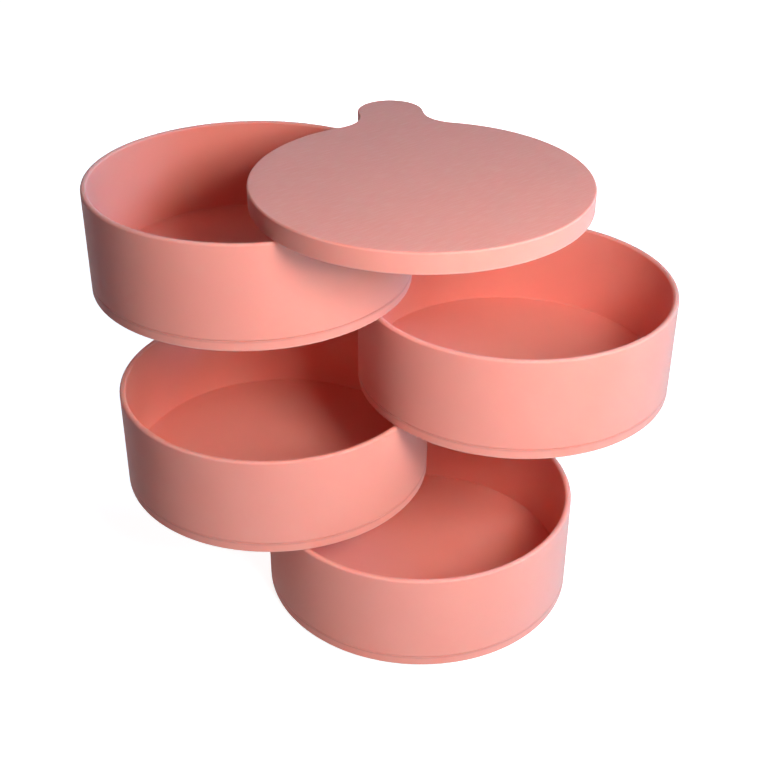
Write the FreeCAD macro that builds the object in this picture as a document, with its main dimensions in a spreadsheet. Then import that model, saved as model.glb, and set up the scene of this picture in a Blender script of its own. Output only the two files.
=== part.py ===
"""Rotating organizer: four round swivel trays and a lid on one upright hinge behind them.

Millimetres, +Z up. The hinge axis is the Z axis, the feet stand on Z = 0 and the bottom tray points to -Y.
The other trays and the lid are fanned out about the hinge as they stand in use.
"""
import FreeCAD, Part
import math
import os
from enum import IntEnum
from types import SimpleNamespace

import Sketcher
from FreeCAD import Vector

# Driving dimensions in millimetres and degrees
DIMENSIONS = {
    # Trays
    "tray_diameter": 105.0,
    "tray_height": 34.8,
    "tray_wall": 2.0,
    "floor_thickness": 1.8,
    "base_thickness": 1.8,
    "lap_height": 1.8,
    "seam_gap": 0.15,
    "seam_chamfer": 0.12,
    "rim_round": 0.8,
    "bottom_round": 0.6,
    "floor_round": 0.5,
    "tray_gap": 0.4,
    # Hinge column and the ear that it makes in the outline
    "column_front_room": 1.1,
    "column_side_room": 2.3,
    "column_tail": 3.0,
    "column_blend": 11.5,
    "deck_thickness": 4.0,
    # Lid
    "lid_wall": 2.0,
    "lid_skin": 1.8,
    "lid_head_room": 0.9,
    "lid_ledge": 1.0,
    "lid_round": 0.6,
    # Pivot hardware
    "pin_diameter": 7.0,
    "pin_head_shoulder": 1.5,
    "pin_head_height": 2.2,
    "collar_wall": 1.0,
    "bush_wall": 1.2,
    "bush_flange_width": 1.7,
    "bush_flange_recess": 0.6,
    "spring_width": 2.5,
    "spring_thickness": 0.5,
    "spring_height": 0.9,
    "washer_width": 2.7,
    "washer_thickness": 1.2,
    "screw_diameter": 4.0,
    "screw_grip": 6.0,
    "screw_head_shoulder": 1.6,
    "screw_head_height": 2.4,
    "screw_head_chamfer": 0.8,
    "screw_tip_chamfer": 0.8,
    "screw_socket_flats": 2.5,
    "screw_socket_depth": 1.3,
    # Clearances
    "running_clearance": 0.05,
    "seat_clearance": 0.05,
    "lap_clearance": 0.1,
    "loose_clearance": 0.15,
    "bore_end_room": 1.0,
    # Feet under the bottom tray
    "foot_diameter": 9.0,
    "foot_reach": 1.0,
    "foot_recess": 0.8,
    "foot_edge_margin": 12.0,
    # Turn of each swung piece from the bottom tray's direction, in degrees
    "tray_3_angle": -50.2,
    "tray_2_angle": 33.7,
    "tray_1_angle": -58.5,
    "lid_angle": -1.2,
}

SHEET = "Dims"
TOLERANCE = 1e-4
# A round takes at most this share of the wall that it is on
ROUND_SHARE = 0.45
UP = Vector(0, 0, 1)


class Ref(IntEnum):
    """How a sketch refers to its axes and to the points of a curve."""
    V_AXIS = -2
    H_AXIS = -1
    START = 1
    END = 2
    CENTRE = 3


ORIGIN = (Ref.H_AXIS, Ref.START)


class Size:
    """A size held as the text of its expression and its present value."""

    def __init__(self, text, value):
        self.text = text
        self.value = value

    def __add__(self, other):
        return Size(f"({self.text} + {other.text})", self.value + other.value)

    def __sub__(self, other):
        return Size(f"({self.text} - {other.text})", self.value - other.value)

    def __mul__(self, number):
        return Size(f"({self.text} * {number!r})", self.value * number)

    def __truediv__(self, number):
        return Size(f"({self.text} / {number!r})", self.value / number)

    def limited(self, other):
        """The smaller of this size and another."""
        return Size(f"min({self.text}; {other.text})", min(self.value, other.value))

    def hex_corner(self):
        """Corner radius of a hexagon that is this wide across its flats."""
        return self / math.sqrt(3)


def make_sheet(document):
    """Writes the driving dimensions to the sheet and returns them as sizes."""
    sheet = document.addObject("Spreadsheet::Sheet", SHEET)
    sizes = {}
    for row, (alias, value) in enumerate(DIMENSIONS.items(), start=1):
        sheet.set(f"A{row}", alias)
        sheet.set(f"B{row}", str(value))
        sheet.setAlias(f"B{row}", alias)
        sizes[alias] = Size(f"{SHEET}.{alias}", value)
    document.recompute()
    return SimpleNamespace(**sizes)


doc = FreeCAD.newDocument("RotatingOrganizer")
dim = make_sheet(doc)
ZERO = Size("0", 0.0)

# Sizes that follow from the driving dimensions
tray_radius = dim.tray_diameter / 2
inner_radius = tray_radius - dim.tray_wall
tray_pitch = dim.tray_height + dim.tray_gap
lap_thickness = (dim.tray_wall - dim.lap_clearance) / 2
seam_height = dim.base_thickness + dim.lap_height
floor_height = dim.base_thickness + dim.floor_thickness
wall_foot = seam_height + dim.seam_gap / 2
band_top = seam_height - dim.seam_gap / 2
rim_round = dim.rim_round.limited(dim.tray_wall * ROUND_SHARE)
bottom_round = dim.bottom_round.limited(dim.tray_wall * ROUND_SHARE)
head_flats = dim.pin_diameter + dim.pin_head_shoulder * 2
socket_flats = head_flats + dim.loose_clearance * 2
collar_radius = socket_flats.hex_corner() + dim.collar_wall
pivot_offset = tray_radius + collar_radius + dim.column_front_room
ear_half_width = collar_radius + dim.column_side_room + dim.tray_wall
lid_thickness = dim.base_thickness + dim.pin_head_height + dim.lid_head_room + dim.lid_skin
pin_radius = dim.pin_diameter / 2
bush_bore = dim.pin_diameter + dim.running_clearance * 2
bush_outside = bush_bore + dim.bush_wall * 2
flange_diameter = bush_outside + dim.bush_flange_width * 2
washer_diameter = dim.pin_diameter + dim.washer_width * 2
drop_to_spring = dim.tray_gap + dim.deck_thickness
drop_to_washer = drop_to_spring + dim.spring_height
drop_to_screw = drop_to_washer + dim.washer_thickness
drop_to_screw_end = drop_to_screw + dim.screw_head_height


# Sketch and feature helpers

def new_body(label):
    """Starts a sub-part."""
    body = doc.addObject("PartDesign::Body", label)
    body.Label = label
    return body


def new_sketch(body, name, role="XY_Plane", lift=None):
    """Adds a sketch on one of the body's own planes, raised by lift."""
    sketch = body.newObject("Sketcher::SketchObject", name)
    plane = next(feature for feature in body.Origin.OriginFeatures if feature.Role == role)
    sketch.AttachmentSupport = [(plane, "")]
    sketch.MapMode = "FlatFace"
    if lift is not None:
        sketch.setExpression("AttachmentOffset.Base.z", lift.text)
    return sketch


def constrain(sketch, *terms):
    """Adds a constraint that has no dimension."""
    sketch.addConstraint(Sketcher.Constraint(*terms))


def dimension(sketch, name, size, kind, *terms):
    """Adds a dimension and ties it to the sheet."""
    index = sketch.addConstraint(Sketcher.Constraint(kind, *terms, size.value))
    sketch.renameConstraint(index, name)
    sketch.setExpression(f"Constraints.{name}", size.text)


def add_circle(sketch, name, diameter, y_below=None):
    """Draws a circle about the hinge axis, or about a point y_below in front of it."""
    y = 0.0 if y_below is None else -y_below.value
    circle = sketch.addGeometry(Part.Circle(Vector(0, y, 0), UP, diameter.value / 2), False)
    if y_below is None:
        constrain(sketch, "Coincident", circle, Ref.CENTRE, *ORIGIN)
    else:
        constrain(sketch, "PointOnObject", circle, Ref.CENTRE, Ref.V_AXIS)
        dimension(sketch, f"{name}_offset", y_below, "DistanceY", circle, Ref.CENTRE, *ORIGIN)
    dimension(sketch, name, diameter, "Diameter", circle)


def add_arc(sketch, centre, radius, first, last):
    """Draws an arc counter-clockwise between two angles in radians."""
    return sketch.addGeometry(Part.ArcOfCircle(Part.Circle(centre, UP, radius), first, last), False)


def add_line(sketch, first, last):
    """Draws a line between two points."""
    return sketch.addGeometry(Part.LineSegment(first, last), False)


def add_outline(sketch, inset):
    """Draws the round tray with its ear, brought in all round by inset."""
    cup = tray_radius - inset
    ear = ear_half_width - inset
    blend = dim.column_blend + inset
    cup_centre = Vector(0, -pivot_offset.value, 0)
    tail = Vector(0, dim.column_tail.value, 0)
    blend_x = ear.value + blend.value
    blend_y = math.sqrt((cup.value + blend.value) ** 2 - blend_x ** 2) - pivot_offset.value
    lean = math.atan2(blend_y - cup_centre.y, blend_x)
    ear_x = Vector(ear.value, 0, 0)
    foot = Vector(ear.value, blend_y, 0)
    foot_left = Vector(-ear.value, blend_y, 0)

    round_wall = add_arc(sketch, cup_centre, cup.value, math.pi - lean, 2 * math.pi + lean)
    right_blend = add_arc(sketch, Vector(blend_x, blend_y, 0), blend.value, math.pi, math.pi + lean)
    right_side = add_line(sketch, foot, tail + ear_x)
    ear_end = add_arc(sketch, tail, ear.value, 0, math.pi)
    left_side = add_line(sketch, tail - ear_x, foot_left)
    left_blend = add_arc(sketch, Vector(-blend_x, blend_y, 0), blend.value, -lean, 0)

    constrain(sketch, "Tangent", round_wall, Ref.END, right_blend, Ref.END)
    constrain(sketch, "Tangent", right_blend, Ref.START, right_side, Ref.START)
    constrain(sketch, "Tangent", right_side, Ref.END, ear_end, Ref.START)
    constrain(sketch, "Tangent", ear_end, Ref.END, left_side, Ref.START)
    constrain(sketch, "Tangent", left_side, Ref.END, left_blend, Ref.END)
    constrain(sketch, "Tangent", left_blend, Ref.START, round_wall, Ref.START)
    constrain(sketch, "Vertical", right_side)
    constrain(sketch, "Vertical", left_side)
    constrain(sketch, "Equal", right_blend, left_blend)
    constrain(sketch, "PointOnObject", round_wall, Ref.CENTRE, Ref.V_AXIS)
    constrain(sketch, "PointOnObject", ear_end, Ref.CENTRE, Ref.V_AXIS)
    dimension(sketch, "cup_radius", cup, "Radius", round_wall)
    dimension(sketch, "ear_radius", ear, "Radius", ear_end)
    dimension(sketch, "blend_radius", blend, "Radius", right_blend)
    dimension(sketch, "pivot_offset", pivot_offset, "DistanceY", round_wall, Ref.CENTRE, *ORIGIN)
    dimension(sketch, "tail", dim.column_tail, "DistanceY", *ORIGIN, ear_end, Ref.CENTRE)


def add_column_room(sketch):
    """Draws the hollow of the hinge column, between the ear's wall and the round wall."""
    half = ear_half_width - dim.tray_wall
    cup_centre = Vector(0, -pivot_offset.value, 0)
    tail = Vector(0, dim.column_tail.value, 0)
    side = Vector(half.value, 0, 0)
    lean = math.acos(half.value / tray_radius.value)
    corner = cup_centre + Vector(half.value, tray_radius.value * math.sin(lean), 0)
    corner_left = cup_centre + Vector(-half.value, tray_radius.value * math.sin(lean), 0)

    front = add_arc(sketch, cup_centre, tray_radius.value, lean, math.pi - lean)
    right_side = add_line(sketch, corner, tail + side)
    back = add_arc(sketch, tail, half.value, 0, math.pi)
    left_side = add_line(sketch, tail - side, corner_left)

    constrain(sketch, "Coincident", front, Ref.START, right_side, Ref.START)
    constrain(sketch, "Tangent", right_side, Ref.END, back, Ref.START)
    constrain(sketch, "Tangent", back, Ref.END, left_side, Ref.START)
    constrain(sketch, "Coincident", left_side, Ref.END, front, Ref.END)
    constrain(sketch, "Vertical", right_side)
    constrain(sketch, "Vertical", left_side)
    constrain(sketch, "PointOnObject", front, Ref.CENTRE, Ref.V_AXIS)
    constrain(sketch, "PointOnObject", back, Ref.CENTRE, Ref.V_AXIS)
    dimension(sketch, "front_radius", tray_radius, "Radius", front)
    dimension(sketch, "back_radius", half, "Radius", back)
    dimension(sketch, "pivot_offset", pivot_offset, "DistanceY", front, Ref.CENTRE, *ORIGIN)
    dimension(sketch, "tail", dim.column_tail, "DistanceY", *ORIGIN, back, Ref.CENTRE)


def add_hexagon(sketch, flats):
    """Draws a hexagon about the hinge axis from its size across flats."""
    corner = flats.hex_corner().value
    turns = [math.radians(60 * step) for step in range(6)]
    points = [Vector(corner * math.cos(turn), corner * math.sin(turn), 0) for turn in turns]
    sides = [add_line(sketch, points[step - 1], points[step]) for step in range(6)]
    guide = sketch.addGeometry(Part.Circle(Vector(), UP, corner), True)
    constrain(sketch, "Coincident", guide, Ref.CENTRE, *ORIGIN)
    for step, side in enumerate(sides):
        constrain(sketch, "Coincident", sides[step - 1], Ref.END, side, Ref.START)
        constrain(sketch, "PointOnObject", side, Ref.START, guide)
    for side in sides[1:]:
        constrain(sketch, "Equal", sides[0], side)
    constrain(sketch, "PointOnObject", sides[0], Ref.END, Ref.H_AXIS)
    dimension(sketch, "flats", flats, "Distance", sides[3], Ref.START, sides[0])


def add_profile(sketch, corners):
    """Draws a closed profile of (radius, height) corners, where None stands for zero."""
    points = [Vector(r.value if r else 0.0, z.value if z else 0.0, 0) for r, z in corners]
    sides = [add_line(sketch, points[step - 1], points[step]) for step in range(len(points))]
    for step, (radius, height) in enumerate(corners):
        side = sides[step]
        constrain(sketch, "Coincident", side, Ref.END, sides[(step + 1) % len(sides)], Ref.START)
        if radius is None:
            constrain(sketch, "PointOnObject", side, Ref.END, Ref.V_AXIS)
        else:
            dimension(sketch, f"radius_{step}", radius, "DistanceX", *ORIGIN, side, Ref.END)
        if height is None:
            constrain(sketch, "PointOnObject", side, Ref.END, Ref.H_AXIS)
        else:
            dimension(sketch, f"height_{step}", height, "DistanceY", *ORIGIN, side, Ref.END)


def pad(body, sketch, length):
    """Raises a sketch into a solid."""
    feature = body.newObject("PartDesign::Pad", f"{sketch.Name}_pad")
    feature.Profile = sketch
    feature.setExpression("Length", length.text)
    doc.recompute()
    return feature


def pocket(body, sketch, depth, upward=False):
    """Cuts a sketch out of the solid, downward unless upward is set."""
    before = body.Tip.Shape.Volume
    feature = body.newObject("PartDesign::Pocket", f"{sketch.Name}_pocket")
    feature.Profile = sketch
    feature.Reversed = upward
    feature.setExpression("Length", depth.text)
    doc.recompute()
    if feature.Shape.Volume >= before:
        raise RuntimeError(f"{feature.Name} cuts nothing from {body.Label}")
    return feature


def revolve(body, sketch):
    """Turns a profile about the sketch's upright axis."""
    feature = body.newObject("PartDesign::Revolution", f"{sketch.Name}_turned")
    feature.Profile = sketch
    feature.ReferenceAxis = (sketch, ["V_Axis"])
    feature.Angle = 360
    doc.recompute()
    return feature


def level_edges(feature, height, radius=None):
    """Names the edges that lie flat at one height, only the round ones of a radius if it is given."""
    names = []
    for number, edge in enumerate(feature.Shape.Edges, start=1):
        box = edge.BoundBox
        if max(abs(box.ZMin - height.value), abs(box.ZMax - height.value)) > TOLERANCE:
            continue
        if radius is not None:
            circle = edge.Curve
            if not isinstance(circle, Part.Circle) or abs(circle.Radius - radius.value) > TOLERANCE:
                continue
        names.append(f"Edge{number}")
    return names


def dress(body, kind, size, edges):
    """Rounds or chamfers the named edges of the body's last feature."""
    base = body.Tip
    feature = body.newObject(f"PartDesign::{kind}", f"{base.Name}_{kind.lower()}")
    feature.Base = (base, edges)
    feature.setExpression("Radius" if kind == "Fillet" else "Size", size.text)
    doc.recompute()
    return feature


def place(body, height, angle=None):
    """Lifts a sub-part to its height and swings it about the hinge axis."""
    body.setExpression("Placement.Base.z", height.text)
    if angle is not None:
        body.setExpression("Placement.Rotation.Angle", angle.text)
    return body


# Trays

def make_cup(label):
    """Moulded cup: round wall, floor and hinge column, open at the column's foot."""
    body = new_body(label)
    wall = new_sketch(body, f"{label}_wall", lift=wall_foot)
    add_outline(wall, ZERO)
    solid = pad(body, wall, dim.tray_height - wall_foot)
    dress(body, "Fillet", rim_round, level_edges(solid, dim.tray_height))
    dress(body, "Chamfer", dim.seam_chamfer, level_edges(body.Tip, wall_foot))

    spigot = new_sketch(body, f"{label}_spigot", lift=dim.base_thickness)
    add_outline(spigot, lap_thickness + dim.lap_clearance)
    pad(body, spigot, wall_foot - dim.base_thickness)

    inside = new_sketch(body, f"{label}_inside", lift=dim.tray_height)
    add_circle(inside, "inside", inner_radius * 2, y_below=pivot_offset)
    pocket(body, inside, dim.tray_height - floor_height)
    dress(body, "Fillet", rim_round, level_edges(body.Tip, dim.tray_height, inner_radius))
    dress(body, "Fillet", dim.floor_round, level_edges(body.Tip, floor_height, inner_radius))

    column = new_sketch(body, f"{label}_column", lift=dim.base_thickness)
    add_column_room(column)
    room_height = dim.tray_height - dim.deck_thickness - dim.base_thickness
    pocket(body, column, room_height, upward=True)

    recess = new_sketch(body, f"{label}_flange_recess", lift=dim.tray_height)
    add_circle(recess, "recess", flange_diameter + dim.loose_clearance * 2)
    pocket(body, recess, dim.bush_flange_recess)
    seat = new_sketch(body, f"{label}_bush_seat", lift=dim.tray_height)
    add_circle(seat, "seat", bush_outside + dim.seat_clearance * 2)
    pocket(body, seat, dim.deck_thickness)
    return body


def add_pin_collar(body, label):
    """Adds the collar that holds a pivot pin's hex head, and the hole for its shank."""
    collar = new_sketch(body, f"{label}_collar", lift=dim.base_thickness)
    add_circle(collar, "collar", collar_radius * 2)
    pad(body, collar, dim.pin_head_height)
    socket = new_sketch(body, f"{label}_socket", lift=dim.base_thickness + dim.pin_head_height)
    add_hexagon(socket, socket_flats)
    pocket(body, socket, dim.pin_head_height)
    hole = new_sketch(body, f"{label}_pin_hole", lift=dim.base_thickness)
    add_circle(hole, "hole", dim.pin_diameter + dim.loose_clearance * 2)
    pocket(body, hole, dim.base_thickness)


def foot_places():
    """Places of the feet: one under the hinge column and four under the round of the tray."""
    reach = (tray_radius - dim.foot_edge_margin) / math.sqrt(2)
    near, far = pivot_offset - reach, pivot_offset + reach
    return [(None, None), (reach, near), (reach, far), (reach * -1, near), (reach * -1, far)]


def add_foot_circle(sketch, name, x, y_below):
    """Draws the recess of one foot at its place under the tray."""
    centre = Vector(x.value, -y_below.value, 0) if x else Vector()
    diameter = dim.foot_diameter + dim.loose_clearance * 2
    circle = sketch.addGeometry(Part.Circle(centre, UP, diameter.value / 2), False)
    dimension(sketch, name, diameter, "Diameter", circle)
    if x is None:
        constrain(sketch, "Coincident", circle, Ref.CENTRE, *ORIGIN)
        return
    dimension(sketch, f"{name}_x", x, "DistanceX", *ORIGIN, circle, Ref.CENTRE)
    dimension(sketch, f"{name}_y", y_below, "DistanceY", circle, Ref.CENTRE, *ORIGIN)


def make_base(label, on_feet):
    """Cover under a cup. It carries the pivot pin, or the feet where it is the lowest one."""
    body = new_body(label)
    dish = new_sketch(body, f"{label}_dish")
    add_outline(dish, ZERO)
    solid = pad(body, dish, band_top)
    dress(body, "Chamfer", dim.seam_chamfer, level_edges(solid, band_top))
    dress(body, "Fillet", bottom_round, level_edges(body.Tip, ZERO))
    hollow = new_sketch(body, f"{label}_hollow", lift=dim.base_thickness)
    add_outline(hollow, lap_thickness)
    pocket(body, hollow, band_top - dim.base_thickness, upward=True)
    if on_feet:
        recesses = new_sketch(body, f"{label}_foot_recesses")
        for number, (x, y_below) in enumerate(foot_places()):
            add_foot_circle(recesses, f"foot_{number}", x, y_below)
        pocket(body, recesses, dim.foot_recess, upward=True)
    else:
        add_pin_collar(body, label)
    return body


def make_feet(label):
    """Rubber pads that stand in the recesses of the lowest base."""
    pads = []
    for number, (x, y_below) in enumerate(foot_places()):
        foot = doc.addObject("Part::Cylinder", f"{label}_{number}")
        foot.setExpression("Radius", (dim.foot_diameter / 2).text)
        foot.setExpression("Height", (dim.foot_reach + dim.foot_recess).text)
        if x is not None:
            foot.setExpression("Placement.Base.x", x.text)
            foot.setExpression("Placement.Base.y", (y_below * -1).text)
        pads.append(foot)
    group = doc.addObject("Part::Compound", label)
    group.Label = label
    group.Links = pads
    doc.recompute()
    return group


# Lid

def make_lid_cover(label):
    """Hollow lid with a ledge inside its wall for the plate that closes it."""
    body = new_body(label)
    disc = new_sketch(body, f"{label}_disc")
    add_outline(disc, ZERO)
    solid = pad(body, disc, lid_thickness)
    top_round = dim.lid_round.limited(lid_thickness * ROUND_SHARE)
    dress(body, "Fillet", top_round, level_edges(solid, lid_thickness))
    edge_round = dim.bottom_round.limited(dim.lid_wall * ROUND_SHARE)
    dress(body, "Fillet", edge_round, level_edges(body.Tip, ZERO))
    rabbet = new_sketch(body, f"{label}_rabbet")
    add_outline(rabbet, dim.lid_wall)
    pocket(body, rabbet, dim.base_thickness, upward=True)
    hollow = new_sketch(body, f"{label}_hollow", lift=dim.base_thickness)
    add_outline(hollow, dim.lid_wall + dim.lid_ledge)
    pocket(body, hollow, dim.pin_head_height + dim.lid_head_room, upward=True)
    return body


def make_lid_underplate(label):
    """Plate that closes the lid and carries its pivot pin."""
    body = new_body(label)
    plate = new_sketch(body, f"{label}_plate")
    add_outline(plate, dim.lid_wall + dim.lap_clearance)
    pad(body, plate, dim.base_thickness)
    add_pin_collar(body, label)
    return body


# Pivot hardware

def make_bush(label):
    """Flanged bush, drawn from the foot of its sleeve up to the flange that carries the piece above."""
    body = new_body(label)
    top = dim.deck_thickness + dim.tray_gap
    shoulder = dim.deck_thickness - dim.bush_flange_recess
    section = new_sketch(body, f"{label}_section", role="XZ_Plane")
    add_profile(section, [(bush_bore / 2, None), (bush_outside / 2, None), (bush_outside / 2, shoulder),
                          (flange_diameter / 2, shoulder), (flange_diameter / 2, top), (bush_bore / 2, top)])
    revolve(body, section)
    return body


def make_pin(label):
    """Hex-headed pivot pin, drawn from the end of its shank, with a threaded bore there."""
    body = new_body(label)
    shank_length = dim.base_thickness + drop_to_washer
    shank = new_sketch(body, f"{label}_shank")
    add_circle(shank, "shank", dim.pin_diameter)
    pad(body, shank, shank_length)
    head = new_sketch(body, f"{label}_head", lift=shank_length)
    add_hexagon(head, head_flats)
    pad(body, head, dim.pin_head_height)
    bore = new_sketch(body, f"{label}_bore")
    add_circle(bore, "bore", dim.screw_diameter + dim.seat_clearance * 2)
    pocket(body, bore, dim.screw_grip + dim.bore_end_room, upward=True)
    return body


def make_spring(label):
    """Disc spring: a shallow cone, low at its bore and high at its rim."""
    body = new_body(label)
    bore = pin_radius + dim.loose_clearance
    rim = bore + dim.spring_width
    section = new_sketch(body, f"{label}_section", role="XZ_Plane")
    add_profile(section, [(bore, None), (rim, dim.spring_height - dim.spring_thickness),
                          (rim, dim.spring_height), (bore, dim.spring_thickness)])
    revolve(body, section)
    return body


def make_washer(label):
    """Retaining washer under the end of the pin."""
    body = new_body(label)
    ring = new_sketch(body, f"{label}_ring")
    add_circle(ring, "outside", washer_diameter)
    add_circle(ring, "bore", dim.screw_diameter + dim.loose_clearance * 2)
    pad(body, ring, dim.washer_thickness)
    return body


def make_screw(label):
    """Pan-head screw, head down, with a hex socket."""
    body = new_body(label)
    shank_radius = dim.screw_diameter / 2
    head_radius = shank_radius + dim.screw_head_shoulder
    tip = dim.screw_head_height + dim.washer_thickness + dim.screw_grip
    section = new_sketch(body, f"{label}_section", role="XZ_Plane")
    add_profile(section, [(None, None), (head_radius - dim.screw_head_chamfer, None),
                          (head_radius, dim.screw_head_chamfer), (head_radius, dim.screw_head_height),
                          (shank_radius, dim.screw_head_height), (shank_radius, tip - dim.screw_tip_chamfer),
                          (shank_radius - dim.screw_tip_chamfer, tip), (None, tip)])
    revolve(body, section)
    socket = new_sketch(body, f"{label}_socket")
    add_hexagon(socket, dim.screw_socket_flats)
    pocket(body, socket, dim.screw_socket_depth, upward=True)
    return body


def make_pivot(owner, height, angle):
    """Pin, spring, washer and screw that join a piece, its underside at height, to the one below."""
    return [
        place(make_pin(f"{owner}_pivot_pin"), height - drop_to_washer, angle),
        place(make_spring(f"{owner}_disc_spring"), height - drop_to_washer, angle),
        place(make_washer(f"{owner}_pivot_washer"), height - drop_to_screw, angle),
        place(make_screw(f"{owner}_pivot_screw"), height - drop_to_screw_end, angle),
    ]


def make_tray(number, height, angle):
    """One tray: cup, base and upper bush, with the pivot under it unless it is the lowest."""
    name = f"tray_{number}"
    lowest = angle is None
    bush_height = height + dim.tray_height - dim.deck_thickness
    pieces = [
        place(make_cup(f"{name}_cup"), height, angle),
        place(make_base(f"{name}_base", on_feet=lowest), height, angle),
        place(make_bush(f"{name}_pivot_bush"), bush_height, angle),
    ]
    return pieces if lowest else pieces + make_pivot(name, height, angle)


def make_lid(height, angle):
    """The lid with its closing plate and its pivot."""
    pieces = [
        place(make_lid_cover("lid_cover"), height, angle),
        place(make_lid_underplate("lid_underplate"), height, angle),
    ]
    return pieces + make_pivot("lid", height, angle)


def make_organizer():
    """All sub-parts, from the feet up to the lid."""
    angles = {4: None, 3: dim.tray_3_angle, 2: dim.tray_2_angle, 1: dim.tray_1_angle}
    height = dim.foot_reach
    pieces = [make_feet("rubber_feet")]
    for number, angle in angles.items():
        pieces += make_tray(number, height, angle)
        height = height + tray_pitch
    return pieces + make_lid(height, dim.lid_angle)


def check_and_write(pieces):
    """Stops at any failed object, then writes each sub-part to its own file."""
    doc.recompute()
    for item in doc.Objects:
        if "Invalid" in item.State or "Error" in item.State:
            raise RuntimeError(f"{item.Label} failed: {item.State}")
    for piece in pieces:
        if piece.Shape.isNull() or not piece.Shape.isValid():
            raise RuntimeError(f"{piece.Label} has no valid shape")
    os.makedirs("parts", exist_ok=True)
    for piece in pieces:
        piece.Shape.exportStep(f"parts/{piece.Label}.step")
        print(f"{piece.Label}: {len(piece.Shape.Solids)} solid(s), {piece.Shape.Volume:.1f} mm3")


check_and_write(make_organizer())
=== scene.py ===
"""Rotating organizer: four round swivel trays under a round lid, dressed for rendering.

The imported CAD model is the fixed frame. Its solids have the shapes that show, so they keep them and get
their finishes here. The pads under the bottom tray are modelled again, with the soft edges that moulded
rubber has. Metres, +Z up. The hinge axis is the Z axis and the bottom tray points to -Y.
"""
from __future__ import annotations

import logging
import math
from dataclasses import dataclass
from enum import Enum

import bpy
from mathutils import Matrix, Vector

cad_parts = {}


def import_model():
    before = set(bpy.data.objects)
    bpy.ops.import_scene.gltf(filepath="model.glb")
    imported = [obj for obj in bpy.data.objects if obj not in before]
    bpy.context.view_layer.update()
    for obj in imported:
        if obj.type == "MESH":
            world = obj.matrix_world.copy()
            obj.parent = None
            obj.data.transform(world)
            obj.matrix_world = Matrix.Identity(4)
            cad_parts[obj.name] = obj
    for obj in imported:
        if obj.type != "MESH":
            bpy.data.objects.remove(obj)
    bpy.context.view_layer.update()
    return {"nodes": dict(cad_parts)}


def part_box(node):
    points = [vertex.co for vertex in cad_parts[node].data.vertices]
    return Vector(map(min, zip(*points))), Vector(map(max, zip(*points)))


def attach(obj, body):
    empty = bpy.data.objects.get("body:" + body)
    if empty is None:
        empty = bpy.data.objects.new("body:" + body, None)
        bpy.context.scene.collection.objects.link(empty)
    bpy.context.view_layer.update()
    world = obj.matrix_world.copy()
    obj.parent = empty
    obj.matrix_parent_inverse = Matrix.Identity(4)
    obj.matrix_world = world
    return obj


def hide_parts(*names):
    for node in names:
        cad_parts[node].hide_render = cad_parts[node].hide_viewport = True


log = logging.getLogger("organizer")

MM = 0.001
# Height of the lowest joint between two trays, and the height from one such joint to the next
JOINT_HEIGHT = 36.0 * MM
TRAY_PITCH = 35.2 * MM
# Height of the seam between cup and base in the lowest tray
SEAM_HEIGHT = 4.6 * MM
# The painted seam shade lies mostly on the base's edge, this far below the seam
SEAM_SHADE_DROP = 0.3 * MM
# Height of the middle of the round on the lid's upper edge
LID_EDGE_HEIGHT = 148.2 * MM
# At scale 1, the wave texture runs through this many radians in a metre
WAVE_RADIANS = 20.0
WHITE = (1.0, 1.0, 1.0, 1.0)


class Body(Enum):
    """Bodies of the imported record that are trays, from the bottom up."""

    BOTTOM = "bottom_tray"
    THIRD = "third_tray"
    SECOND = "second_tray"
    TOP = "top_tray"


class Slot(Enum):
    """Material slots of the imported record."""

    TRAY = "tray_plastic"
    BASE = "base_plastic"
    LID = "lid_plastic"
    LID_PLATE = "lid_plate_plastic"
    BUSH = "bush_plastic"
    PIVOT = "pivot_steel"
    SPRING = "spring_steel"
    FOOT = "foot_rubber"


def linear(code: str) -> tuple[float, float, float, float]:
    """Turns an sRGB hex colour into linear values.

    Args:
        code: The colour as "#RRGGBB".

    Returns:
        Red, green, blue and an alpha of one.
    """
    parts = [int(code[start:start + 2], 16) / 255 for start in (1, 3, 5)]
    red, green, blue = [p / 12.92 if p <= 0.04045 else ((p + 0.055) / 1.055) ** 2.4 for p in parts]
    return red, green, blue, 1.0


def per_metre(size_mm: float) -> float:
    """Gives the texture scale that makes features about size_mm wide on coordinates in metres."""
    return 1.0 / (size_mm * MM)


def add_node(
    tree: bpy.types.NodeTree,
    kind: str,
    values: dict[str | int, object] | None = None,
    links: dict[str | int, bpy.types.NodeSocket] | None = None,
    **settings: object,
) -> bpy.types.Node:
    """Adds one node with its settings and links.

    Args:
        tree: The node tree that gets the node.
        kind: The node's type name.
        values: Input sockets and the constants that they hold.
        links: Input sockets and the output sockets that feed them.
        settings: Properties of the node itself.

    Returns:
        The new node.
    """
    node = tree.nodes.new(kind)
    for name, value in settings.items():
        setattr(node, name, value)
    for socket, value in (values or {}).items():
        node.inputs[socket].default_value = value
    for socket, source in (links or {}).items():
        tree.links.new(source, node.inputs[socket])
    return node


def new_tree(owner: bpy.types.Material | bpy.types.World) -> bpy.types.NodeTree:
    """Gives a material or world an empty node tree.

    Args:
        owner: The material or world.

    Returns:
        Its node tree.
    """
    owner.use_nodes = True
    owner.node_tree.nodes.clear()
    return owner.node_tree


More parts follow.
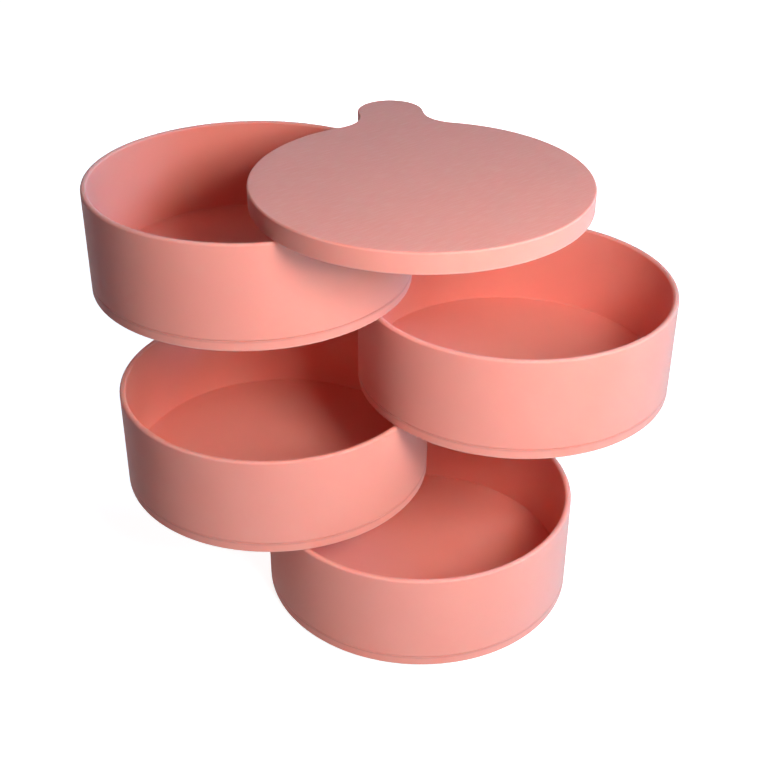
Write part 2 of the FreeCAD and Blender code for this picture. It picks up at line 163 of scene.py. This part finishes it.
@dataclass(frozen=True)
class Band:
    """A band at the same height on every tray, used for painted highlights and painted shade.

    It has its full strength within full_mm of that height and fades out at end_mm from it.
    """

    height: float
    full_mm: float
    end_mm: float
    strength: float

    def mask(self, tree: bpy.types.NodeTree, level: bpy.types.NodeSocket) -> bpy.types.NodeSocket:
        """Adds the nodes that mark the band.

        Args:
            tree: The material's tree.
            level: Height of the shaded point.

        Returns:
            A socket with the band's strength.
        """
        above = add_node(tree, "ShaderNodeMath", {1: self.height}, {0: level}, operation="SUBTRACT")
        off = add_node(
            tree, "ShaderNodeMath", {1: TRAY_PITCH / 2}, {0: above.outputs[0]}, operation="PINGPONG"
        )
        fade = add_node(
            tree,
            "ShaderNodeMapRange",
            {
                "From Min": self.full_mm * MM,
                "From Max": self.end_mm * MM,
                "To Min": self.strength,
                "To Max": 0.0,
            },
            {"Value": off.outputs[0]},
        )
        return fade.outputs["Result"]


@dataclass(frozen=True)
class Facing:
    """Faces chosen by the upward part of their normal: at none a mask is left out, at full it is kept."""

    none: float
    full: float

    def keep(
        self, tree: bpy.types.NodeTree, mask: bpy.types.NodeSocket, normal: bpy.types.NodeSocket
    ) -> bpy.types.NodeSocket:
        """Keeps a mask to the chosen faces.

        Args:
            tree: The material's tree.
            mask: The mask.
            normal: The surface's normal.

        Returns:
            A socket with the mask on those faces only.
        """
        facing = add_node(tree, "ShaderNodeSeparateXYZ", links={"Vector": normal})
        share = add_node(
            tree,
            "ShaderNodeMapRange",
            {"From Min": self.none, "From Max": self.full},
            {"Value": facing.outputs["Z"]},
        )
        kept = add_node(
            tree, "ShaderNodeMath", links={0: mask, 1: share.outputs["Result"]}, operation="MULTIPLY"
        )
        return kept.outputs[0]


# Painted highlights: pale bands on the rims and lower edges, and on the lid's upper edge, where their rounds
# would catch light
PAINTED_RIM_HIGHLIGHT = Band(JOINT_HEIGHT, full_mm=0.5, end_mm=1.0, strength=0.5)
PAINTED_LID_EDGE_HIGHLIGHT = Band(LID_EDGE_HEIGHT, full_mm=0.15, end_mm=0.3, strength=0.3)
# Painted shade: a soft darker band along the seam, wider than the gap itself, standing in for the groove's
# shadow
PAINTED_SEAM_SHADE = Band(SEAM_HEIGHT - SEAM_SHADE_DROP, full_mm=0.0, end_mm=0.8, strength=0.52)
WALLS = Facing(none=0.7, full=0.2)
TOPS = Facing(none=0.5, full=0.9)


@dataclass(frozen=True)
class MouldedPlastic:
    """Matte ABS from a spark-eroded mould.

    The eye sees an even, soft sheen without mirror highlights, a fine grain where light grazes it, a faint
    cloud in the pigment, and warm light that has travelled a little way under the skin. Pale bands on
    rims and edges are painted highlights, and a darker band along the seam is painted shade.
    """

    name: str
    colour: str = "#ED9787"
    cloud_colour: str = "#EA9181"
    cloud_mm: float = 18.0
    # Pale colour of the painted edge highlights, also used for the lid's strokes
    highlight_and_stroke_colour: str = "#F2ADA0"
    painted_highlights: tuple[Band, ...] = (PAINTED_RIM_HIGHLIGHT,)
    # Colour and band of the painted shade along the seam
    dust_and_shade_colour: str = "#C4746A"
    dust_and_shade: Band | None = None
    roughness: float = 0.58
    roughness_spread: float = 0.06
    grain_mm: float = 0.45
    grain_depth_mm: float = 0.004
    stroke_strength: float = 0.0
    stroke_turn: float = 30.0
    stroke_length_mm: float = 6.0
    stroke_width_mm: float = 0.5
    stroke_depth_mm: float = 0.015
    stroke_low: float = 0.45
    stroke_high: float = 0.65
    ior: float = 1.53
    specular: float = 0.45
    scatter_mm: float = 1.0
    scatter_shares: tuple[float, float, float] = (1.0, 0.35, 0.25)

    def strokes(
        self, tree: bpy.types.NodeTree, place: bpy.types.NodeSocket, normal: bpy.types.NodeSocket
    ) -> bpy.types.NodeSocket:
        """Draws the fine strokes that polishing left in the mould, slanting across the lid's top.

        Args:
            tree: The material's tree.
            place: Object coordinates.
            normal: The surface's normal.

        Returns:
            A socket with the strokes' height, from zero to one.
        """
        # The strokes are about 0.2 mm apart, too fine to show, so they are drawn wider than that
        turned = add_node(
            tree,
            "ShaderNodeMapping",
            {
                "Rotation": (0.0, 0.0, math.radians(self.stroke_turn)),
                "Scale": (self.stroke_length_mm * MM, self.stroke_width_mm * MM, self.stroke_width_mm * MM),
            },
            {"Vector": place},
            vector_type="TEXTURE",
        )
        noise = add_node(
            tree, "ShaderNodeTexNoise", {"Scale": 1.0, "Detail": 2.0}, {"Vector": turned.outputs[0]}
        )
        return TOPS.keep(tree, noise.outputs["Fac"], normal)

    def material(self) -> bpy.types.Material:
        """Builds the node material.

        Returns:
            The material.
        """
        material = bpy.data.materials.new(self.name)
        tree = new_tree(material)
        spot = add_node(tree, "ShaderNodeTexCoord").outputs
        place = spot["Object"]
        level = add_node(tree, "ShaderNodeSeparateXYZ", links={"Vector": place}).outputs["Z"]
        # The melt leaves wide clouds of pigment
        cloud = add_node(
            tree, "ShaderNodeTexNoise", {"Scale": per_metre(self.cloud_mm), "Detail": 2.0}, {"Vector": place}
        )
        pigment = add_node(
            tree,
            "ShaderNodeMix",
            {"A": linear(self.cloud_colour), "B": linear(self.colour)},
            {"Factor": cloud.outputs["Fac"]},
            data_type="RGBA",
        )
        # Pale bands on rims and edges are painted highlights
        layers = [(self.highlight_and_stroke_colour, edge.mask(tree, level)) for edge in self.painted_highlights]
        if self.dust_and_shade:
            # The darker band along the seam is painted shade, kept to the walls, since the cup's floor is as
            # high as the seam
            seam_shade_mask = WALLS.keep(tree, self.dust_and_shade.mask(tree, level), spot["Normal"])
            layers.append((self.dust_and_shade_colour, seam_shade_mask))
        # Eroded grain is about 0.05 mm wide, too fine to show, so it is drawn several times as coarse
        grain = add_node(
            tree,
            "ShaderNodeTexNoise",
            {"Scale": per_metre(self.grain_mm), "Detail": 3.0, "Roughness": 0.6},
            {"Vector": place},
        )
        relief = add_node(
            tree,
            "ShaderNodeBump",
            {"Strength": 1.0, "Distance": self.grain_depth_mm * MM},
            {"Height": grain.outputs["Fac"]},
        )
        if self.stroke_strength:
            strokes = self.strokes(tree, place, spot["Normal"])
            # Light under the skin hides most of their relief, and they show mainly as paler lines
            pale = add_node(
                tree,
                "ShaderNodeMapRange",
                {
                    "From Min": self.stroke_low,
                    "From Max": self.stroke_high,
                    "To Min": 0.0,
                    "To Max": self.stroke_strength,
                },
                {"Value": strokes},
            )
            layers.append((self.highlight_and_stroke_colour, pale.outputs["Result"]))
            relief = add_node(
                tree,
                "ShaderNodeBump",
                {"Strength": 1.0, "Distance": self.stroke_depth_mm * MM},
                {"Height": strokes, "Normal": relief.outputs["Normal"]},
            )
        colour = pigment.outputs["Result"]
        for code, mask in layers:
            mix = add_node(
                tree, "ShaderNodeMix", {"B": linear(code)}, {"Factor": mask, "A": colour}, data_type="RGBA"
            )
            colour = mix.outputs["Result"]
        sheen = add_node(
            tree,
            "ShaderNodeMapRange",
            {
                "To Min": self.roughness - self.roughness_spread,
                "To Max": self.roughness + self.roughness_spread,
            },
            {"Value": grain.outputs["Fac"]},
        )
        shader = add_node(
            tree,
            "ShaderNodeBsdfPrincipled",
            {
                "IOR": self.ior,
                "Specular IOR Level": self.specular,
                "Subsurface Weight": 1.0,
                "Subsurface Radius": self.scatter_shares,
                "Subsurface Scale": self.scatter_mm * MM,
            },
            {
                "Base Color": colour,
                "Roughness": sheen.outputs["Result"],
                "Normal": relief.outputs["Normal"],
            },
        )
        add_node(tree, "ShaderNodeOutputMaterial", links={"Surface": shader.outputs["BSDF"]})
        return material


@dataclass(frozen=True)
class TurnedMetal:
    """Steel turned on a lathe and plated or oiled: a satin metal with fine rings and a few dull spots."""

    name: str
    colour: str
    dull_colour: str
    roughness: float
    spot_mm: float = 1.5
    ring_mm: float = 1.2566
    ring_polish: float = 0.06
    ring_dulling: float = 0.08

    def material(self) -> bpy.types.Material:
        """Builds the node material.

        Returns:
            The material.
        """
        material = bpy.data.materials.new(self.name)
        tree = new_tree(material)
        place = add_node(tree, "ShaderNodeTexCoord").outputs["Object"]
        spots = add_node(
            tree, "ShaderNodeTexNoise", {"Scale": per_metre(self.spot_mm), "Detail": 3.0}, {"Vector": place}
        )
        tint = add_node(
            tree,
            "ShaderNodeMix",
            {"A": linear(self.dull_colour), "B": linear(self.colour)},
            {"Factor": spots.outputs["Fac"]},
            data_type="RGBA",
        )
        # Tool marks ring the hinge axis every 0.2 mm, too fine to show, so they are drawn wider
        rings = add_node(
            tree,
            "ShaderNodeTexWave",
            {"Scale": math.tau * per_metre(self.ring_mm) / WAVE_RADIANS, "Distortion": 0.5},
            {"Vector": place},
            wave_type="RINGS",
            rings_direction="Z",
        )
        rough = add_node(
            tree,
            "ShaderNodeMapRange",
            {"To Min": self.roughness - self.ring_polish, "To Max": self.roughness + self.ring_dulling},
            {"Value": rings.outputs["Fac"]},
        )
        shader = add_node(
            tree,
            "ShaderNodeBsdfPrincipled",
            {"Metallic": 1.0},
            {"Base Color": tint.outputs["Result"], "Roughness": rough.outputs["Result"]},
        )
        add_node(tree, "ShaderNodeOutputMaterial", links={"Surface": shader.outputs["BSDF"]})
        return material


@dataclass(frozen=True)
class SoftPolymer:
    """Unpainted rubber or acetal: one even colour with a dusty, slightly mottled skin."""

    name: str
    colour: str
    dust_and_shade_colour: str
    roughness: float
    ior: float
    mottle_mm: float = 0.8
    skin_depth_mm: float = 0.01
    roughness_spread: float = 0.08

    def material(self) -> bpy.types.Material:
        """Builds the node material.

        Returns:
            The material.
        """
        material = bpy.data.materials.new(self.name)
        tree = new_tree(material)
        place = add_node(tree, "ShaderNodeTexCoord").outputs["Object"]
        # Dust mottle of the skin only, with no painted shade
        dust_and_shade = add_node(
            tree,
            "ShaderNodeTexNoise",
            {"Scale": per_metre(self.mottle_mm), "Detail": 4.0, "Roughness": 0.65},
            {"Vector": place},
        )
        tint = add_node(
            tree,
            "ShaderNodeMix",
            {"A": linear(self.colour), "B": linear(self.dust_and_shade_colour)},
            {"Factor": dust_and_shade.outputs["Fac"]},
            data_type="RGBA",
        )
        skin = add_node(
            tree,
            "ShaderNodeBump",
            {"Strength": 1.0, "Distance": self.skin_depth_mm * MM},
            {"Height": dust_and_shade.outputs["Fac"]},
        )
        rough = add_node(
            tree,
            "ShaderNodeMapRange",
            {
                "To Min": self.roughness - self.roughness_spread,
                "To Max": self.roughness + self.roughness_spread,
            },
            {"Value": dust_and_shade.outputs["Fac"]},
        )
        shader = add_node(
            tree,
            "ShaderNodeBsdfPrincipled",
            {"IOR": self.ior},
            {
                "Base Color": tint.outputs["Result"],
                "Roughness": rough.outputs["Result"],
                "Normal": skin.outputs["Normal"],
            },
        )
        add_node(tree, "ShaderNodeOutputMaterial", links={"Surface": shader.outputs["BSDF"]})
        return material


Finish = MouldedPlastic | TurnedMetal | SoftPolymer
FINISHES: dict[Slot, Finish] = {
    Slot.TRAY: MouldedPlastic("matte_abs_tray", dust_and_shade=PAINTED_SEAM_SHADE),
    Slot.BASE: MouldedPlastic("matte_abs_base", dust_and_shade=PAINTED_SEAM_SHADE),
    Slot.LID: MouldedPlastic("matte_abs_lid", stroke_strength=0.26, painted_highlights=(PAINTED_RIM_HIGHLIGHT, PAINTED_LID_EDGE_HIGHLIGHT)),
    Slot.LID_PLATE: MouldedPlastic("matte_abs_lid_plate"),
    Slot.BUSH: SoftPolymer("moulded_acetal", "#ECEBE4", "#E2E0D8", roughness=0.38, ior=1.48),
    Slot.PIVOT: TurnedMetal("zinc_plated_steel", "#C9C8C6", "#A9AAA9", roughness=0.34),
    Slot.SPRING: TurnedMetal("oiled_spring_steel", "#6B6762", "#4A4744", roughness=0.40),
    Slot.FOOT: SoftPolymer("moulded_rubber", "#BDBAB4", "#CDCAC4", roughness=0.80, ior=1.50),
}


class FinishRack:
    """Makes each finish once and hands it to the pieces that wear it."""

    def __init__(self) -> None:
        """Starts with no finish made."""
        self.made: dict[Slot, bpy.types.Material] = {}

    def of(self, slot: Slot) -> bpy.types.Material:
        """Gives the material of a slot, made when it is first asked for.

        Args:
            slot: The record's slot.

        Returns:
            The material.
        """
        if slot not in self.made:
            self.made[slot] = FINISHES[slot].material()
        return self.made[slot]

    def put_on(self, piece: bpy.types.Object, slot: Slot) -> None:
        """Puts a slot's finish on a piece in place of what it wears.

        Args:
            piece: The CAD node or modelled piece.
            slot: The record's slot.
        """
        piece.data.materials.clear()
        piece.data.materials.append(self.of(slot))
        log.info("%s wears %s", piece.name, self.of(slot).name)


@dataclass
class Pivot:
    """Pin, disc spring, washer and screw that hold one piece to the one below it."""

    owner: str

    def dress(self, nodes: dict[str, bpy.types.Object], rack: FinishRack) -> None:
        """Puts steel on the pivot's pieces.

        Args:
            nodes: The CAD nodes by name.
            rack: The finishes.
        """
        for part in ("pivot_pin", "pivot_washer", "pivot_screw"):
            rack.put_on(nodes[f"{self.owner}_{part}"], Slot.PIVOT)
        rack.put_on(nodes[f"{self.owner}_disc_spring"], Slot.SPRING)


@dataclass
class SwivelTray:
    """One tray: a cup with its base and the bush that carries the piece above."""

    number: int
    body: Body

    def dress(self, nodes: dict[str, bpy.types.Object], rack: FinishRack) -> None:
        """Puts the tray's finishes on its CAD nodes.

        Args:
            nodes: The CAD nodes by name.
            rack: The finishes.
        """
        name = f"tray_{self.number}"
        rack.put_on(nodes[f"{name}_cup"], Slot.TRAY)
        rack.put_on(nodes[f"{name}_base"], Slot.BASE)
        rack.put_on(nodes[f"{name}_pivot_bush"], Slot.BUSH)
        if self.body is not Body.BOTTOM:
            Pivot(name).dress(nodes, rack)


@dataclass
class Lid:
    """The lid, its closing plate and its pivot."""

    def dress(self, nodes: dict[str, bpy.types.Object], rack: FinishRack) -> None:
        """Puts the lid's finishes on its CAD nodes.

        Args:
            nodes: The CAD nodes by name.
            rack: The finishes.
        """
        rack.put_on(nodes["lid_cover"], Slot.LID)
        rack.put_on(nodes["lid_underplate"], Slot.LID_PLATE)
        Pivot("lid").dress(nodes, rack)


@dataclass
class RubberFeet:
    """Five moulded pads under the bottom tray, each with a rounded edge and a shallow dish that grips."""

    radius: float = 4.5 * MM
    sides: int = 48
    grip_width: float = 1.3 * MM
    dish_depth: float = 0.3 * MM
    dish_taper: float = 0.9
    edge_round: float = 0.4 * MM
    round_steps: int = 3
    round_angle: float = 20.0
    smooth_angle: float = 35.0

    def places(self) -> list[tuple[float, float]]:
        """Works out the middles of the pads from the CAD node that they stand for.

        Returns:
            The places across the table, the one on the hinge axis first.
        """
        low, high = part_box("rubber_feet")
        reach = high.x - self.radius
        far = low.y + self.radius
        near = far + 2 * reach
        return [(0.0, 0.0), (reach, near), (-reach, near), (reach, far), (-reach, far)]

    @staticmethod
    def select_sole(pad: bpy.types.Object) -> None:
        """Selects only the face that a pad stands on.

        Args:
            pad: The pad, still a plain cylinder.
        """
        bpy.ops.object.mode_set(mode="EDIT")
        bpy.ops.mesh.select_mode(type="FACE")
        bpy.ops.mesh.select_all(action="DESELECT")
        bpy.ops.object.mode_set(mode="OBJECT")
        sole = min(pad.data.polygons, key=lambda face: face.center.z)
        sole.select = True

    def shape_pad(self) -> bpy.types.Object:
        """Models one pad on the hinge axis.

        Returns:
            The pad, with its place in its mesh.
        """
        low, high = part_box("rubber_feet")
        height = high.z - low.z
        bpy.ops.object.select_all(action="DESELECT")
        bpy.ops.mesh.primitive_cylinder_add(
            vertices=self.sides, radius=self.radius, depth=height, location=(0.0, 0.0, (low.z + high.z) / 2)
        )
        pad = bpy.context.object
        bpy.ops.object.transform_apply(location=True, rotation=True, scale=True)
        self.select_sole(pad)
        bpy.ops.object.mode_set(mode="EDIT")
        bpy.ops.mesh.inset(thickness=self.grip_width)
        bpy.ops.mesh.extrude_region_move(TRANSFORM_OT_translate={"value": (0.0, 0.0, self.dish_depth)})
        bpy.ops.transform.resize(value=(self.dish_taper, self.dish_taper, 1.0))
        bpy.ops.object.mode_set(mode="OBJECT")
        bevel = pad.modifiers.new("soft_edges", "BEVEL")
        bevel.width = self.edge_round
        bevel.segments = self.round_steps
        bevel.limit_method = "ANGLE"
        bevel.angle_limit = math.radians(self.round_angle)
        bpy.ops.object.modifier_apply(modifier=bevel.name)
        bpy.ops.object.shade_smooth_by_angle(angle=math.radians(self.smooth_angle))
        return pad

    def build(self, rack: FinishRack) -> None:
        """Models the pads, joins them and sets them in place of their CAD node.

        Args:
            rack: The finishes.
        """
        first = self.shape_pad()
        pads = [first]
        for x, y in self.places()[1:]:
            pad = bpy.data.objects.new(first.name, first.data.copy())
            pad.data.transform(Matrix.Translation((x, y, 0.0)))
            bpy.context.scene.collection.objects.link(pad)
            pads.append(pad)
        bpy.ops.object.select_all(action="DESELECT")
        for pad in pads:
            pad.select_set(True)
        bpy.context.view_layer.objects.active = first
        bpy.ops.object.join()
        first.name = "rubber_foot_pads"
        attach(first, Body.BOTTOM.value)
        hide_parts("rubber_feet")
        rack.put_on(first, Slot.FOOT)


@dataclass(frozen=True)
class SoftBox:
    """A square soft light, placed in degrees by its bearing from the camera's side and its height."""

    name: str
    bearing: float
    height: float
    distance: float
    size: float
    level: float
    colour: str

    def build(self, aim: Vector, heading: float) -> None:
        """Makes the light.

        Args:
            aim: The point that it lights.
            heading: The camera's heading about Z, in radians from +Y.
        """
        turn = heading + math.radians(self.bearing)
        rise = math.radians(self.height)
        way = Vector((math.sin(turn) * math.cos(rise), -math.cos(turn) * math.cos(rise), math.sin(rise)))
        data = bpy.data.lights.new(self.name, "AREA")
        data.shape = "SQUARE"
        data.size = self.size
        # At level 1 a white card that faces the light renders white
        data.energy = self.level * (math.pi * self.distance) ** 2
        data.color = linear(self.colour)[:3]
        light = bpy.data.objects.new(self.name, data)
        bpy.context.scene.collection.objects.link(light)
        light.location = aim + way * self.distance
        light.rotation_euler = (-way).to_track_quat("-Z", "Y").to_euler()
        light.visible_camera = False
        # The white surroundings give the sheen, so that no lamp leaves a hot spot on the lid
        light.visible_glossy = False


@dataclass
class Studio:
    """Camera, floor, lights and surroundings, in metres and degrees, with lens and sensor in millimetres."""

    position: tuple[float, float, float] = (-0.07190, -0.41396, 0.29219)
    heading: float = -9.528
    pitch: float = 30.900
    roll: float = 0.235
    lens: float = 59.635
    sensor: float = 36.0
    clip_start: float = 0.01
    floor_side: float = 6.0
    floor_colour: str = "#BCBCBC"
    floor_lift: float = 0.90
    lift_start: float = 0.15
    lift_end: float = 0.60
    aim: tuple[float, float, float] = (-0.010, -0.055, 0.080)
    ambient: float = 0.11
    ambient_colour: str = "#FF8178"
    lights: tuple[SoftBox, ...] = (
        SoftBox("key", bearing=28.0, height=34.0, distance=0.4, size=0.13, level=1.05, colour="#FEFFFF"),
        SoftBox("window", bearing=110.0, height=24.0, distance=2.6, size=0.64, level=0.8, colour="#62C0FF"),
        SoftBox("card", bearing=30.0, height=4.0, distance=0.65, size=0.16, level=0.43, colour="#92E7FF"),
        SoftBox("back", bearing=180.0, height=1.0, distance=0.7, size=0.14, level=0.55, colour="#FFFFFF"),
    )

    def build(self) -> None:
        """Sets up everything round the object."""
        self.build_camera()
        self.build_floor()
        self.build_world()
        for light in self.lights:
            light.build(Vector(self.aim), math.radians(self.heading))
        bpy.context.scene.view_settings.view_transform = "Standard"

    def build_camera(self) -> None:
        """Makes the camera at the photograph's viewing angle."""
        data = bpy.data.cameras.new("camera")
        data.sensor_width = self.sensor
        data.lens = self.lens
        data.clip_start = self.clip_start
        camera = bpy.data.objects.new("camera", data)
        bpy.context.scene.collection.objects.link(camera)
        camera.matrix_world = (
            Matrix.Translation(Vector(self.position))
            @ Matrix.Rotation(math.radians(self.heading), 4, "Z")
            @ Matrix.Rotation(math.radians(90.0 - self.pitch), 4, "X")
            @ Matrix.Rotation(math.radians(self.roll), 4, "Z")
        )
        bpy.context.scene.camera = camera

    @staticmethod
    def seen_directly(tree: bpy.types.NodeTree) -> bpy.types.NodeSocket:
        """Adds the test for rays that come from the camera, from a gloss or through glass.

        Args:
            tree: The tree that uses it.

        Returns:
            A socket that is one for such rays and otherwise zero.
        """
        path = add_node(tree, "ShaderNodeLightPath").outputs
        gloss = add_node(
            tree,
            "ShaderNodeMath",
            links={0: path["Is Glossy Ray"], 1: path["Is Transmission Ray"]},
            operation="MAXIMUM",
        )
        every = add_node(
            tree,
            "ShaderNodeMath",
            links={0: path["Is Camera Ray"], 1: gloss.outputs[0]},
            operation="MAXIMUM",
        )
        return every.outputs[0]

    def build_floor(self) -> None:
        """Makes the floor: white card that the camera sees as white, with the object's shadow on it."""
        bpy.ops.object.select_all(action="DESELECT")
        bpy.ops.mesh.primitive_plane_add(size=self.floor_side)
        floor = bpy.context.object
        floor.name = "floor"
        material = bpy.data.materials.new("white_card")
        tree = new_tree(material)
        place = add_node(tree, "ShaderNodeTexCoord").outputs["Object"]
        # Far from the lamps the card would turn grey, so the lift grows to white there
        away = add_node(tree, "ShaderNodeVectorMath", links={0: place}, operation="LENGTH")
        lift = add_node(
            tree,
            "ShaderNodeMapRange",
            {
                "From Min": self.lift_start,
                "From Max": self.lift_end,
                "To Min": self.floor_lift,
                "To Max": 1.0,
            },
            {"Value": away.outputs["Value"]},
        )
        shown = add_node(
            tree,
            "ShaderNodeMath",
            links={0: lift.outputs["Result"], 1: self.seen_directly(tree)},
            operation="MULTIPLY",
        )
        card = add_node(tree, "ShaderNodeBsdfDiffuse", {"Color": linear(self.floor_colour)})
        glow = add_node(tree, "ShaderNodeEmission", {"Color": WHITE}, {"Strength": shown.outputs[0]})
        both = add_node(tree, "ShaderNodeAddShader", links={0: card.outputs[0], 1: glow.outputs[0]})
        add_node(tree, "ShaderNodeOutputMaterial", links={"Surface": both.outputs[0]})
        floor.data.materials.append(material)

    def build_world(self) -> None:
        """Makes the surroundings: white to look at, with a weak warm light of their own."""
        world = bpy.data.worlds.new("studio")
        bpy.context.scene.world = world
        tree = new_tree(world)
        weak = add_node(
            tree, "ShaderNodeBackground", {"Color": linear(self.ambient_colour), "Strength": self.ambient}
        )
        white = add_node(tree, "ShaderNodeBackground", {"Color": WHITE, "Strength": 1.0})
        mix = add_node(
            tree,
            "ShaderNodeMixShader",
            links={0: self.seen_directly(tree), 1: weak.outputs[0], 2: white.outputs[0]},
        )
        add_node(tree, "ShaderNodeOutputWorld", links={"Surface": mix.outputs[0]})


def main() -> None:
    """Loads the frame, dresses every piece and sets up the studio."""
    logging.basicConfig(level=logging.INFO, format="%(message)s")
    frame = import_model()
    nodes = frame["nodes"]
    rack = FinishRack()
    trays = (Body.TOP, Body.SECOND, Body.THIRD, Body.BOTTOM)
    for number, body in enumerate(trays, start=1):
        SwivelTray(number, body).dress(nodes, rack)
    Lid().dress(nodes, rack)
    RubberFeet().build(rack)
    Studio().build()


if __name__ == "__main__":
    main()
